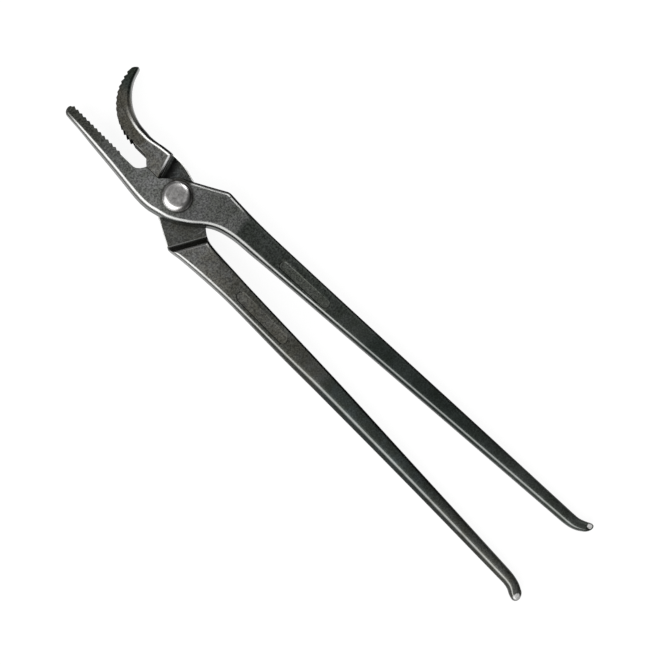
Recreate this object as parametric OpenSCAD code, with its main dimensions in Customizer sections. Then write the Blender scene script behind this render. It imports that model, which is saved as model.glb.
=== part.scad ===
// Nail clinchers for smithing: two drop-forged steel levers that cross in a
// half-lap joint and turn on one domed rivet. One jaw is straight, the other
// bends away in an arc, and both are toothed. Drawn closed, in millimetres.
// The rivet's axis is Z, the back of the joint is z = 0, the jaws point to +Y.

/* [Joint] */
// Thickness of the joint, both cheeks together
joint_thickness = 15; // [14:0.5:17]
// Play between the two rubbing cheeks
cheek_gap = 0.15; // [0.1:0.05:0.3]
// Play left between the jaw blocks when the tool is closed
seam_gap = 0.2; // [0.1:0.05:0.4]
// Height above the pivot where the seam meets the shoulders
seam_bottom = 13.8; // [13.7:0.1:14.2]
// Height above the pivot where the seam opens into the throat
seam_top = 22.8; // [22.2:0.1:23.2]
// Radius of the rounded end of each cheek about the pivot
cheek_radius = 10; // [9.6:0.1:10.4]
// Rise of a jaw block's shoulder for each millimetre from the seam
shoulder_slope = 0.3; // [0.25:0.01:0.4]
// Lean of the wall where a handle steps down to its cheek, in degrees
step_lean = 25; // [5:1:30]

/* [Forging] */
// Draft of the forged side walls, in degrees
draft = 7; // [3:1:8]
// Radius along the forged edges
edge_radius = 2.4; // [1.8:0.1:2.5]
// Small break along filed and machined edges
edge_break = 0.25; // [0.15:0.05:0.3]

/* [Straight jaw] */
// Reach of the straight jaw from the pivot
straight_reach = 74.9; // [74:0.1:78]
// Number of filed teeth on the straight jaw
straight_teeth = 13; // [10:1:13]
// Distance from one tooth to the next on the straight jaw
straight_pitch = 2.81; // [2.6:0.01:2.82]
// Depth of the straight jaw's teeth
straight_depth = 1; // [0.6:0.1:1.2]
// Thickness at the tips of both jaws
tip_thickness = 10; // [9:0.5:12]

/* [Curved jaw] */
// Radius of the toothed side of the curved jaw
curve_radius = 29; // [28.7:0.1:29.3]
// Radius of its hollow back
back_radius = 26.3; // [26:0.1:26.6]
// Number of saw teeth on the curved jaw
curved_teeth = 14; // [10:1:16]
// Depth of the saw teeth at both ends of the row
curved_depth = 1.1; // [0.7:0.1:1.3]
// Depth of the saw teeth in the middle of the row
curved_mid_depth = 0.6; // [0.4:0.1:1]

/* [Handles] */
// Reach of the longer handle from the pivot
handle_reach = 280.6; // [240:0.2:320]
// Thickness of a handle below its root
grip_thickness = 10.4; // [9:0.2:12]
// Thickness of a handle at its end
end_thickness = 7.6; // [7:0.2:9]

/* [Rivet] */
// Radius of the domed head
head_radius = 8.3; // [7.5:0.1:9]
// Height of the domed head
head_height = 2.9; // [2:0.1:3.5]
// Radius of the shank
shank_radius = 4.8; // [4:0.1:5.5]
// Radial running play of the shank in the front cheek
shank_play = 0.05; // [0.02:0.01:0.08]
// Radius of the clenched tail at the back face
tail_radius = 7; // [6:0.1:7.5]

/* [Hidden] */

mid = joint_thickness / 2;
half = joint_thickness / 2;
half_seam = seam_gap / 2;
// The joint's flat ground faces reach this far up and down from the pivot
ground_top = 32;
ground_bottom = -34;
// The handles run nearly straight between these two heights
grip_top = -60;
grip_bottom = 19 - handle_reach;
// Angles at which the rounded edges are stepped, from flat face to side wall
edge_steps = [90, 60, 30, 0];
// Angles at which the rounded noses of jaws and handles are stepped
nose_steps = [15, 35, 55, 75];

function lerp(a, b, t) = a + (b - a) * t;
function unit(v) = v / norm(v);
function plan(p) = [p.x, p.y];

// Smooth curve through the points p, with n steps between two of them
function run(p, i) = norm(p[i + 1] - p[i]);
function slope_at(p, i) =
    i == 0 ? (p[1] - p[0]) / run(p, 0)
    : i == len(p) - 1 ? (p[i] - p[i - 1]) / run(p, i - 1)
    : (p[i + 1] - p[i - 1]) / (run(p, i) + run(p, i - 1));
function curve_point(p, i, t) =
    let (s = run(p, i))
    p[i] * (1 + 2 * t) * pow(1 - t, 2) + slope_at(p, i) * s * t * pow(1 - t, 2)
    + p[i + 1] * t * t * (3 - 2 * t) - slope_at(p, i + 1) * s * t * t * (1 - t);
function smooth(p, n) = [
    for (i = [0 : len(p) - 2], k = [0 : n - 1]) curve_point(p, i, k / n),
    p[len(p) - 1]
];

// Where a side that runs down the tool stands at height y
function across(side, y) = [
    lookup(y, [for (p = side) [p.y, p.x]]),
    y,
    lookup(y, [for (p = side) [p.y, p.z]])
];

// Half thickness of a lever at height y
function half_at(y) = lookup(y, [
    [straight_reach, tip_thickness / 2],
    [ground_top, half],
    [ground_bottom, half],
    [-50, lerp(half, grip_thickness / 2, 0.5)],
    [-65, lerp(half, grip_thickness / 2, 0.85)],
    [-85, grip_thickness / 2],
    [grip_bottom, end_thickness / 2]
]);

// A station across a lever is [left point, right point, half thickness], and
// a point is [x, y, forged], where forged is 1 on a drafted wall with the
// full edge radius, 0 on a filed or machined one and over 1 on a rounder one.
function station(left, right, h) = [left, right, h];

// Rounded end beyond the station s, as half of an ellipse with its top at apex
function nose(s, apex) = [
    for (a = nose_steps)
        let (c = (s[0] + s[1]) / 2, tip = [apex.x, apex.y, c.z])
        station(
            c + (tip - c) * cos(a) + (s[0] - c) * sin(a),
            c + (tip - c) * cos(a) + (s[1] - c) * sin(a),
            s[2])
];
function backwards(list) = [for (i = [len(list) - 1 : -1 : 0]) list[i]];

// Direction into the metal at b, for a ring that runs a, b, c anticlockwise
function inward(a, b, c) =
    let (u = unit(b - a), v = unit(c - b), m = [-u.y - v.y, u.x + v.x])
    m / max(1 + u * v, 0.5);

// The ring of plan points round a lever, each as [x, y, forged, h]
function ring_of(stations) = concat(
    [for (s = stations) [s[0].x, s[0].y, s[0].z, s[2]]],
    [for (s = backwards(stations)) [s[1].x, s[1].y, s[1].z, s[2]]]
);
function edge_at(p) = min(lerp(edge_break, edge_radius, p.z), p[3] - 0.1);
function ring_point(ring, i, side, a) =
    let (
        n = len(ring),
        p = ring[i],
        r = edge_at(p),
        wall = p[3] - r,
        in = p.z * tan(draft) * wall + r * (1 - cos(a)),
        q = plan(p) + in * inward(plan(ring[(i + n - 1) % n]), plan(p), plan(ring[(i + 1) % n]))
    )
    [q.x, q.y, mid + side * (wall + r * sin(a))];

// A forging: the ring is widest at mid thickness, and its walls lean in
// from there to rounded edges and to the flat faces on both sides.
module forging(stations) {
    ring = ring_of(stations);
    n = len(ring);
    last = 2 * len(edge_steps);
    points = [
        for (a = edge_steps, i = [0 : n - 1]) ring_point(ring, i, 1, a),
        for (p = ring) [p.x, p.y, mid],
        for (a = backwards(edge_steps), i = [0 : n - 1]) ring_point(ring, i, -1, a)
    ];
    walls = [
        for (j = [0 : last - 1], i = [0 : n - 1])
            let (k = (i + 1) % n, t = j * n, b = t + n)
            each [[t + i, t + k, b + k], [t + i, b + k, b + i]]
    ];
    faces = [
        for (i = [0 : n / 2 - 2])
            let (l = i, r = n - 1 - i, b = last * n)
            each [
                [l, r, r - 1], [l, r - 1, l + 1],
                [b + l, b + r - 1, b + r], [b + l, b + l + 1, b + r - 1]
            ]
    ];
    polyhedron(points, concat(walls, faces));
}

// Edge of a cheek from the seam round the pivot to the straight slope, for a
// lever whose handle goes to the right of the pivot
cheek_edge = [
    [-half_seam, seam_top - 0.1, 0],
    [-half_seam, 20, 0],
    [-half_seam, 17, 0],
    [-half_seam, seam_bottom - 0.3, 0],
    [0.4, seam_bottom - 0.6, 0],
    [1.8, seam_bottom - 1.7, 0.05],
    [3.3, seam_bottom - 3.4, 0.05],
    for (a = [62 : -10 : 32]) [cheek_radius * cos(a), cheek_radius * sin(a), 0.05]
];
function mirrored(side) = [for (p = side) [-p.x, p.y, p.z]];

// Straight lever: outer side of the jaw, boss, crossing and inner side of the
// handle, which lies to the right of the pivot
straight_smooth_side = smooth([
    [-9.4, 72.4, 0.6], [-10.3, 62, 0.65], [-11.5, 52, 0.85], [-12.8, 40, 0.9], [-14.2, 28, 0.9],
    [-15.5, 18, 1], [-15.9, 12, 1], [-15.5, 6, 1], [-14.3, 0, 1], [-12.1, -6, 1],
    [-8.6, -12, 1], [-5, -17, 1], [-1.4, -21.2, 1], [1.4, -25.7, 1], [3.1, -30.5, 1],
    [4.5, -38, 1], [5.3, -50, 1.1], [6.1, grip_top, 0.95],
    [10.1, lerp(grip_top, grip_bottom, 1 / 3), 1.2],
    [14.1, lerp(grip_top, grip_bottom, 2 / 3), 1.3],
    [18, grip_bottom, 1.3], [18.4, grip_bottom - 6, 1.2], [19.1, grip_bottom - 10, 1],
    [20.4, grip_bottom - 13.4, 0.85], [22.1, grip_bottom - 16, 0.7]
], 6);
// Its other side: elbow and outer side of the handle
straight_handle_edge = smooth([
    [12.1, -0.1, 0.9], [16.7, -8.7, 1], [20.9, -16.4, 1], [21.5, -17.6, 1], [21.6, -19, 1],
    [21.3, -24, 1], [20.8, ground_bottom, 1], [20.5, -48, 0.8], [20.65, grip_top, 0.8],
    [22.2, lerp(grip_top, grip_bottom, 1 / 3), 1],
    [24, lerp(grip_top, grip_bottom, 2 / 3), 1.1],
    [25.65, grip_bottom, 1.15], [25.8, grip_bottom - 6, 1.1], [26.1, grip_bottom - 10, 1],
    [27.2, grip_bottom - 13.4, 0.85], [28.4, grip_bottom - 16, 0.7]
], 3);
straight_first_tooth = straight_reach - 2.5;
straight_last_tooth = straight_first_tooth - straight_pitch * (straight_teeth - 1);
function tooth_x(y) =
    lerp(-3.2, -3.9, (straight_first_tooth - y) / (straight_first_tooth - straight_last_tooth));
straight_tooth_edge = [
    for (i = [0 : straight_teeth - 1])
        let (y = straight_first_tooth - i * straight_pitch, root = y - straight_pitch / 2)
        each [[tooth_x(y), y, 0], [tooth_x(root) - straight_depth, root, 0]]
];
straight_throat = [
    [-4.8, ground_top + 2, 0], [-4.8, ground_top, 0], [-4.8, 28.2, 0], [-4.5, 26.6, 0],
    [-3.5, 25.1, 0], [-2, 23.8, 0], [-0.6, seam_top + 0.1, 0]
];
straight_stations = [
    for (p = concat(straight_tooth_edge, straight_throat, cheek_edge, straight_handle_edge))
        station(across(straight_smooth_side, p.y), p, half_at(p.y))
];

// Curved lever: boss, crossing and inner side of the handle, which lies to
// the left of the pivot
curve_centre = [33, 36.9];
back_centre = [40.4, 36.3];
curved_smooth_side = smooth([
    [back_centre.x - back_radius, back_centre.y, 1.5], [13.7, 33.5, 1.4], [14, 29, 1.2],
    [14.8, 24.5, 1.2], [15.3, 19.5, 1.2], [15.4, 13, 1], [14.7, 8, 1], [13.4, 3, 1],
    [11.4, -3.5, 1], [9.1, -8, 1], [6.4, -12.5, 1], [3.2, -16.8, 1], [0, -20.6, 1],
    [-2.8, -24, 1], [-4.6, -27.4, 1], [-5.5, -31.4, 1], [-6.2, -39, 0.9], [-6.9, -50, 0.8],
    [-7.55, grip_top, 0.8],
    [-10.8, lerp(grip_top, grip_bottom, 1 / 3), 1],
    [-15, lerp(grip_top, grip_bottom, 2 / 3), 1.1],
    [-19.3, grip_bottom, 1.15], [-19.75, grip_bottom - 4.6, 1.1], [-20.4, grip_bottom - 7.7, 1],
    [-21.4, grip_bottom - 10.6, 0.85], [-22.7, grip_bottom - 12.8, 0.7]
], 6);
curved_handle_edge = smooth([
    [-14.6, -0.1, 0.9], [-19, -7.8, 0.9], [-22.8, -14.8, 0.7], [-23.4, -15.9, 0.6], [-23.4, -17.2, 0.5],
    [-22.7, -23, 0.6], [-22, ground_bottom, 0.7], [-21.4, -48, 0.8], [-21.3, grip_top, 0.9],
    [-22.5, -100, 1.5], [-22.9, lerp(grip_top, grip_bottom, 1 / 3), 2],
    [-24.5, lerp(grip_top, grip_bottom, 2 / 3), 1.85],
    [-26.7, grip_bottom, 1.5], [-26.9, grip_bottom - 4.6, 1.4], [-27.6, grip_bottom - 7.7, 1.2],
    [-29.1, grip_bottom - 10.6, 0.9], [-29.8, grip_bottom - 12.8, 0.7]
], 3);
curved_throat = [
    [4.3, 35.6, 0], [4.3, ground_top, 0], [4.3, 28.4, 0], [4.1, 27, 0], [3.1, 25.8, 0],
    [2, 24.8, 0], [0.8, seam_top + 0.8, 0]
];
curved_lower_stations = [
    for (p = concat(curved_throat, mirrored(cheek_edge), curved_handle_edge))
        station(p, across(curved_smooth_side, p.y), half_at(p.y))
];

// The row of saw teeth runs from tooth_start by the throat to tooth_end by
// the tip, as angles about curve_centre; back_end faces tooth_end on the back
tooth_start = 176;
tooth_end = 97;
back_end = 104;
taper_start = 189;
function tooth_side(a, r) = [curve_centre.x + r * cos(a), curve_centre.y + r * sin(a), 0];
function back_side(a) =
    let (
        b = lerp(180, back_end, (180 - a) / (180 - tooth_end)),
        rounder = lerp(0.7, 1.6, min((a - tooth_end) / 45, 1))
    )
    [back_centre.x + back_radius * cos(b), back_centre.y + back_radius * sin(b), rounder];
function curved_half(a) = lerp(half, tip_thickness / 2, (taper_start - a) / (taper_start - tooth_end));
function saw_depth(t) = lerp(curved_mid_depth, curved_depth, pow(2 * t - 1, 2));
curved_jaw_stations = [
    for (i = [0 : curved_teeth - 1])
        let (
            t = i / (curved_teeth - 1),
            a = lerp(tooth_end, tooth_start, t),
            root = a + 0.16 * (tooth_start - tooth_end) / (curved_teeth - 1)
        )
        each [
            station(tooth_side(a, curve_radius), back_side(a), curved_half(a)),
            station(tooth_side(root, curve_radius - saw_depth(t)), back_side(root), curved_half(root))
        ]
];
curved_tip = station([32.6, 65.8, 0.3], [34.7, 62.5, 0.4], tip_thickness / 2);

// Space that the other lever's cheek turns in, on the front of a lever whose
// handle goes to the left, from its jaw block's shoulder to its handle step
step_foot = [-12.6, -20.8];
step_angle = -30;
cutter = 200;
module lap_pocket() {
    intersection() {
        translate([-cutter / 2, -cutter / 2, mid - cheek_gap / 2])
            cube(cutter);
        translate([0, seam_bottom, 0])
            rotate([0, 0, atan(shoulder_slope)])
                translate([-cutter / 2, -cutter, -cutter / 2])
                    cube(cutter);
        translate([step_foot.x, step_foot.y, mid])
            rotate([step_lean, 0, step_angle])
                translate([-cutter / 2, 0, -cutter / 2])
                    cube(cutter);
    }
}

module straight_jaw_lever() {
    end = straight_stations[len(straight_stations) - 1];
    shoulder = straight_reach - 1.9;
    tip = station([-9.3, shoulder, 0.5], [-4.2, shoulder, 0.2], tip_thickness / 2);
    color("#4b4e4d")
        difference() {
            forging(concat(
                nose(tip, [-6.2, straight_reach]),
                straight_stations,
                backwards(nose(end, [26.7, -handle_reach]))
            ));
            translate([0, 0, mid])
                rotate([0, 180, 0])
                    translate([0, 0, -mid])
                        lap_pocket();
            translate([0, 0, -1])
                cylinder(h = joint_thickness + 2, r = shank_radius + shank_play, $fn = 96);
        }
}

module curved_jaw_lever() {
    end = curved_lower_stations[len(curved_lower_stations) - 1];
    color("#464848")
        difference() {
            forging(concat(
                nose(curved_tip, [35.4, 63.7]),
                curved_jaw_stations,
                curved_lower_stations,
                backwards(nose(end, [-27.2, grip_bottom - 16]))
            ));
            lap_pocket();
            translate([0, 0, -1])
                cylinder(h = joint_thickness + 2, r = shank_radius, $fn = 96);
            translate([0, 0, -0.01])
                cylinder(h = tail_radius - shank_radius, r1 = tail_radius, r2 = shank_radius, $fn = 96);
        }
}

// Domed factory head over the front cheek, shank, and a tail hammered into
// the back cheek's countersink and ground flush
module rivet() {
    rim = 2.1;
    crown = head_height - rim;
    seat = joint_thickness + cheek_gap / 2;
    dome = (pow(head_radius - rim, 2) + pow(crown, 2)) / (2 * crown);
    color("#a3a5a4")
        rotate_extrude($fn = 96)
            polygon(concat(
                [[0, 0], [tail_radius, 0], [shank_radius, tail_radius - shank_radius]],
                [[shank_radius, seat], [head_radius - 0.3, seat]],
                [for (a = [0 : 15 : 75]) [head_radius - rim + rim * cos(a), seat + rim * sin(a)]],
                [
                    for (t = [0 : 0.2 : 1])
                        let (r = (head_radius - rim) * (1 - t))
                        [r, seat + head_height - dome + sqrt(dome * dome - r * r)]
                ]
            ));
}

straight_jaw_lever();
curved_jaw_lever();
rivet();
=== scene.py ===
import math
from collections import namedtuple
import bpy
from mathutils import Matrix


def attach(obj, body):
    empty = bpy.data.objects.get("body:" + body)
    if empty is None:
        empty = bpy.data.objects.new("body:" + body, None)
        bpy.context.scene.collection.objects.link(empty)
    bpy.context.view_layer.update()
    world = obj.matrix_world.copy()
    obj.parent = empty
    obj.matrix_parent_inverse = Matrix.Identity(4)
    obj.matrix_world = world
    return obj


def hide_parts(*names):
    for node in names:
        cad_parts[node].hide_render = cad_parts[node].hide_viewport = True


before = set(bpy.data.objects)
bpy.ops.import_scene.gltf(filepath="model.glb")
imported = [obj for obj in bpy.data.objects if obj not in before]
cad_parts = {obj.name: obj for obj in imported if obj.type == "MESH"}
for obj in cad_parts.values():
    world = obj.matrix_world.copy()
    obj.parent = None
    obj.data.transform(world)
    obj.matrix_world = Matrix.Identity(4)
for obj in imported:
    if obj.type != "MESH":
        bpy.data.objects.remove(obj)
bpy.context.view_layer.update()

from types import SimpleNamespace

import bmesh
import bpy
from mathutils import Matrix, Vector


# The straight-jaw lever is one steel drop forging from the toothed jaw at the
# left, through the front cheek of the lap joint, to the right handle. The die
# leaves drafted walls and rounded edges; teeth, seam and cheeks are machined.
MM = 0.001
MID = 7.5
JOINT_HALF = 7.5
TIP_HALF = 5.0
GRIP_HALF = 5.2
END_HALF = 3.8
CHEEK_GAP = 0.15
GROUND_TOP = 32
GROUND_BOTTOM = -34
HANDLE_REACH = 280.6
GRIP_TOP = -60
GRIP_END = 19 - HANDLE_REACH
GRIP_UPPER = GRIP_TOP + (GRIP_END - GRIP_TOP) / 3
GRIP_LOWER = GRIP_TOP + (GRIP_END - GRIP_TOP) * 2 / 3
DRAFT = math.tan(math.radians(7))
EDGE_RADIUS = 2.4
EDGE_BREAK = 0.25
EDGE_ANGLES = [math.radians(a) for a in (90, 76, 62, 48, 34, 20, 8, 0)]
NOSE_ANGLES = [math.radians(a) for a in (6, 16, 27, 38, 49, 60, 70, 80)]
STRAIGHT_REACH = 74.9
THROAT_TOP = 35.6
SEAM_BOTTOM = 13.8
SEAM_HALF_GAP = 0.06
CHEEK_RADIUS = 10
SHOULDER_SLOPE = 0.3
SHOULDER_ANGLE = math.atan(SHOULDER_SLOPE)
STEP_ANGLE = math.radians(-30)
STEP_LEAN = math.tan(math.radians(25))
STEP_FOOT = Vector((-12.6, -20.8))
SHANK_RADIUS = 4.8
SHANK_PLAY = 0.05
BORE_FOOT = -1
BORE_TOP = 2 * JOINT_HALF + 1
BORE_SIDES = 96
SHARP_ANGLE = 32
PANEL_DEPTH = 0.35
PANEL_CLEARANCE = 0.6
PANEL_FOOT = -0.3
PANEL_RIM = 0.9

# A point is (x, y, roundness), with a roundness of 0 on a machined wall and
# about 1 on a forged one. A station crosses a lever from its cut side to its
# smooth side, where the lever is twice half thick. Its lap is the height of
# the lap's face over the middle plane, and None outside the lap.
Station = namedtuple("Station", "cut smooth half lap at_end", defaults=(None, False))


def reading(pairs, x):
    """Value at x on the straight lines between (x, value) pairs."""
    pairs = sorted(pairs)
    if x <= pairs[0][0]:
        return pairs[0][1]
    for (x0, v0), (x1, v1) in zip(pairs, pairs[1:]):
        if x <= x1:
            return v0 + (v1 - v0) * (x - x0) / (x1 - x0)
    return pairs[-1][1]


def half_thickness(y):
    """Half the forging's thickness at height y."""
    thinning = JOINT_HALF - GRIP_HALF
    return reading([
        (STRAIGHT_REACH, TIP_HALF),
        (GROUND_TOP, JOINT_HALF),
        (GROUND_BOTTOM, JOINT_HALF),
        (-50, JOINT_HALF - 0.5 * thinning),
        (-65, JOINT_HALF - 0.85 * thinning),
        (-85, GRIP_HALF),
        (GRIP_END, END_HALF),
    ], y)


def smooth(points, spacing):
    """Smooth run through the points, with steps of about one spacing."""
    p = [Vector(q) for q in points]
    gap = [(b - a).length for a, b in zip(p, p[1:])]
    slope = [(p[1] - p[0]) / gap[0]]
    slope += [(p[i + 1] - p[i - 1]) / (gap[i] + gap[i - 1]) for i in range(1, len(gap))]
    slope += [(p[-1] - p[-2]) / gap[-1]]
    line = []
    for i, s in enumerate(gap):
        count = max(1, round(s / spacing))
        for t in (k / count for k in range(count)):
            line.append(
                p[i] * (1 + 2 * t) * (1 - t) ** 2 + slope[i] * s * t * (1 - t) ** 2
                + p[i + 1] * t * t * (3 - 2 * t) - slope[i + 1] * s * t * t * (1 - t))
    return line + [p[-1]]


def meeting(side, point, angle):
    """Where the line through a point at an angle meets a side of the lever."""
    across = Vector((math.cos(angle), math.sin(angle)))
    off = [across.cross(q.xy - point.xy) for q in side]
    found = [
        a.lerp(b, f / (f - g))
        for a, b, f, g in zip(side, side[1:], off, off[1:]) if f * g <= 0 and f != g]
    return min(found, key=lambda q: (q.xy - point.xy).length)


def nose(a, b, apex, half):
    """Stations of a rounded end, from near its apex to the base between a and b."""
    c = (a + b) / 2
    tip = Vector((*apex, c.z))
    return [
        Station(
            c + (tip - c) * math.cos(t) + (a - c) * math.sin(t),
            c + (tip - c) * math.cos(t) + (b - c) * math.sin(t), half, None, True)
        for t in NOSE_ANGLES]


def finished(name, mesh):
    """Object from a mesh under construction, with its faces turned outward."""
    bmesh.ops.recalc_face_normals(mesh, faces=mesh.faces)
    data = bpy.data.meshes.new(name)
    mesh.to_mesh(data)
    mesh.free()
    piece = bpy.data.objects.new(name, data)
    bpy.context.collection.objects.link(piece)
    return piece


def into_metal(ring, turn):
    """Step from each point of the ring into the metal, longer where the outline bends."""
    steps = []
    for i, (point, opposite, station) in enumerate(ring):
        before = ring[i - 1][0].xy
        after = ring[(i + 1) % len(ring)][0].xy
        if station.at_end:
            u = (point.xy - before).normalized()
            v = (after - point.xy).normalized()
            steps.append(Vector((-u.y - v.y, u.x + v.x)) * turn / max(1 + u.dot(v), 0.5))
            continue
        across = (opposite - point).xy.normalized()
        along = (after - before).normalized()
        machined = point.z < 0.05
        steps.append(across if machined else across / max(abs(along.cross(across)), 0.75))
    return steps


def forging(name, stations, turn, pocket):
    """Solid of a lever. Turn is 1 or -1 by the way round that its outline runs, and pocket
    is 1 where the lap is cut into the front face and -1 where it is cut into the back."""
    ring = [(s.cut, s.smooth, s) for s in stations]
    ring += [(s.smooth, s.cut, s) for s in reversed(stations)]
    steps = into_metal(ring, turn)

    def edge_row(face, angle):
        row = []
        for (point, _, station), step in zip(ring, steps):
            radius = min(EDGE_BREAK + (EDGE_RADIUS - EDGE_BREAK) * point.z, station.half - 0.1)
            inset = point.z * DRAFT * (station.half - radius) + radius * (1 - math.cos(angle))
            rise = station.half - radius + radius * math.sin(angle)
            if face == pocket and station.lap is not None:
                rise = min(rise, station.lap)
            q = point.xy + step * inset
            row.append((q.x, q.y, MID + face * rise))
        return row

    middle = []
    for point, _, station in ring:
        sunk = 0 if station.lap is None else min(0, station.lap - 0.25)
        middle.append((point.x, point.y, MID + pocket * sunk))
    levels = [edge_row(1, a) for a in EDGE_ANGLES]
    levels.append(middle)
    levels += [edge_row(-1, a) for a in reversed(EDGE_ANGLES)]

    mesh = bmesh.new()
    rows = [[mesh.verts.new((x * MM, y * MM, z * MM)) for x, y, z in level] for level in levels]
    size = len(ring)
    for upper, lower in zip(rows, rows[1:]):
        for i in range(size):
            k = (i + 1) % size
            mesh.faces.new((upper[i], upper[k], lower[k], lower[i]))
    for row in (rows[0], rows[-1]):
        for i in range(size // 2 - 1):
            mesh.faces.new((row[i], row[i + 1], row[size - 2 - i], row[size - 1 - i]))
    return finished(name, mesh)


def lathe(name, profile, sides):
    """Closed solid turned round the Z axis from (radius, height) pairs."""
    mesh = bmesh.new()
    turns = [2 * math.pi * k / sides for k in range(sides)]
    rings = []
    for r, z in profile:
        if r < 1e-6:
            rings.append([mesh.verts.new((0, 0, z * MM))])
        else:
            rings.append([
                mesh.verts.new((r * math.cos(t) * MM, r * math.sin(t) * MM, z * MM)) for t in turns])
    for a, b in zip(rings, rings[1:]):
        for i in range(sides):
            k = (i + 1) % sides
            corners = [a[i % len(a)], a[k % len(a)], b[k % len(b)], b[i % len(b)]]
            mesh.faces.new(list(dict.fromkeys(corners)))
    return finished(name, mesh)


def cut_away(piece, cutter):
    """Cuts one solid out of another and throws the cutter away."""
    cut = piece.modifiers.new("cut", "BOOLEAN")
    cut.operation = "DIFFERENCE"
    cut.solver = "EXACT"
    cut.object = cutter
    bpy.context.view_layer.update()
    shape = bpy.data.meshes.new_from_object(piece.evaluated_get(bpy.context.evaluated_depsgraph_get()))
    piece.modifiers.clear()
    piece.data = shape
    bpy.data.objects.remove(cutter)


def panel_cutter(centre, length, width, tilt):
    """Cutter for a sunk panel with round ends that follows the handle's face. Its walls
    lean out, from inside the panel's outline at its foot to past it at the rim."""
    radius = width / 2
    straight = length / 2 - radius
    quarter = [math.radians(90 - 9 * k) for k in range(10)]
    outline = [(radius * math.cos(t), straight + radius * math.sin(t)) for t in quarter]
    outline += [(radius, -straight + 2 * straight * k / 6) for k in range(5, 0, -1)]
    outline += [(x, -y) for x, y in reversed(outline[:10])]
    turned = Matrix.Rotation(tilt, 2)
    mesh = bmesh.new()

    def half_row(side, spread, lift):
        row = []
        for x, y in outline:
            past_straight = max(abs(y) - straight, 0) / radius
            wide = Vector((
                (x + spread * x / radius) * side,
                y + spread * past_straight * math.copysign(1, y)))
            q = turned @ wide + Vector(centre)
            row.append(mesh.verts.new((q.x * MM, q.y * MM, (MID + half_thickness(q.y) + lift) * MM)))
        return row

    low_right = half_row(1, PANEL_FOOT, -PANEL_DEPTH)
    low_left = half_row(-1, PANEL_FOOT, -PANEL_DEPTH)
    top_right = half_row(1, PANEL_RIM, PANEL_CLEARANCE)
    top_left = half_row(-1, PANEL_RIM, PANEL_CLEARANCE)
    for a, b in (
            (low_right, low_left), (top_right, top_left),
            (low_right, top_right), (low_left, top_left)):
        for i in range(len(outline) - 1):
            mesh.faces.new((a[i], a[i + 1], b[i + 1], b[i]))
    bmesh.ops.remove_doubles(mesh, verts=mesh.verts, dist=1e-6)
    return finished("panel cutter", mesh)


def finish_edges(piece, angle):
    """Smooth shading that keeps the machined corners sharp."""
    piece.data.shade_smooth()
    piece.data.set_sharp_from_angle(angle=math.radians(angle))


def cheek_edge(side):
    """Seam, corner and round end of a cheek; side is 1 where it lies right of the seam."""
    seam = [(-SEAM_HALF_GAP, y, 0) for y in (22.7, 21.5, 20, 18.5, 17, 15.5, 14.4, SEAM_BOTTOM - 0.3)]
    corner = [(0.4, SEAM_BOTTOM - 0.6, 0), (1.8, SEAM_BOTTOM - 1.7, 0.05), (3.3, SEAM_BOTTOM - 3.4, 0.05)]
    arc = [
        (CHEEK_RADIUS * math.cos(math.radians(a)), CHEEK_RADIUS * math.sin(math.radians(a)), 0.05)
        for a in range(62, 31, -5)]
    return [Vector((x * side, y, w)) for x, y, w in seam + corner + arc]


def wall_heights(top_round, foot_round, lean):
    """(Offset, height over the middle plane) up a lap wall, from its foot to the top face."""
    floor = -CHEEK_GAP / 2
    top = JOINT_HALF
    foot = [
        (-foot_round * (1 - k / 3), floor + foot_round * (1 - math.cos(math.pi / 6 * k)) * 0.5)
        for k in range(3)]
    rise = [(lean * (z - floor), z) for z in (floor + foot_round, floor + 2.5, floor + 5, top - top_round)]
    last = rise[-1][0]
    over = [
        (last + top_round * (1 - math.cos(a)) + lean * top_round * math.sin(a),
         top - top_round * (1 - math.sin(a)))
        for a in (math.radians(t) for t in (15, 32, 50, 70))]
    return foot + rise + over + [(over[-1][0] + 0.45 * top_round, top - 0.001)]


def lap_stations(cut_side, smooth_side, side):
    """Stations from the throat, over the lap pocket, to where the handle runs straight."""
    shoulder = Vector((0, SEAM_BOTTOM))
    foot = Vector((STEP_FOOT.x * side, STEP_FOOT.y))
    shoulder_angle = SHOULDER_ANGLE * side
    step_angle = STEP_ANGLE * side
    to_pocket = Vector((math.sin(SHOULDER_ANGLE) * side, -math.cos(SHOULDER_ANGLE)))
    to_handle = Vector((math.sin(STEP_ANGLE) * side, -math.cos(STEP_ANGLE)))
    shoulder_wall = wall_heights(0.8, 0.3, 0)
    step_wall = wall_heights(1.1, 0.9, STEP_LEAN)
    jaw_end = -0.75
    pocket_start = 0.5
    pocket_end = -0.9
    handle_start = step_wall[-1][0] + 0.6
    station_angle = [
        (THROAT_TOP, 0), (SEAM_BOTTOM, shoulder_angle), (-14, step_angle), (-19.5, step_angle), (GRIP_TOP, 0)]

    def past_shoulder(p):
        return (p.xy - shoulder).dot(to_pocket)

    def past_step(p):
        return (p.xy - foot).dot(to_handle)

    def along_wall(point, angle, lap):
        return Station(meeting(cut_side, point, angle), meeting(smooth_side, point, angle), JOINT_HALF, lap)

    def opposite(p):
        return meeting(smooth_side, p, reading(station_angle, p.y))

    stations = [
        Station(p, opposite(p), half_thickness(p.y)) for p in cut_side if past_shoulder(p) < jaw_end]
    on_shoulder = Vector((7 * side, SEAM_BOTTOM + 7 * SHOULDER_SLOPE))
    for offset, height in reversed(shoulder_wall):
        stations.append(along_wall(on_shoulder - to_pocket * offset, shoulder_angle, height))
    for p in cut_side:
        if past_shoulder(p) > pocket_start and past_step(p) < pocket_end:
            stations.append(Station(p, opposite(p), JOINT_HALF, -CHEEK_GAP / 2))
    for offset, height in step_wall:
        stations.append(along_wall(foot + to_handle * offset, step_angle, height))
    for p in cut_side:
        if past_step(p) > handle_start:
            other = opposite(p)
            stations.append(Station(p, other, half_thickness((p.y + other.y) / 2)))
    return stations


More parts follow.
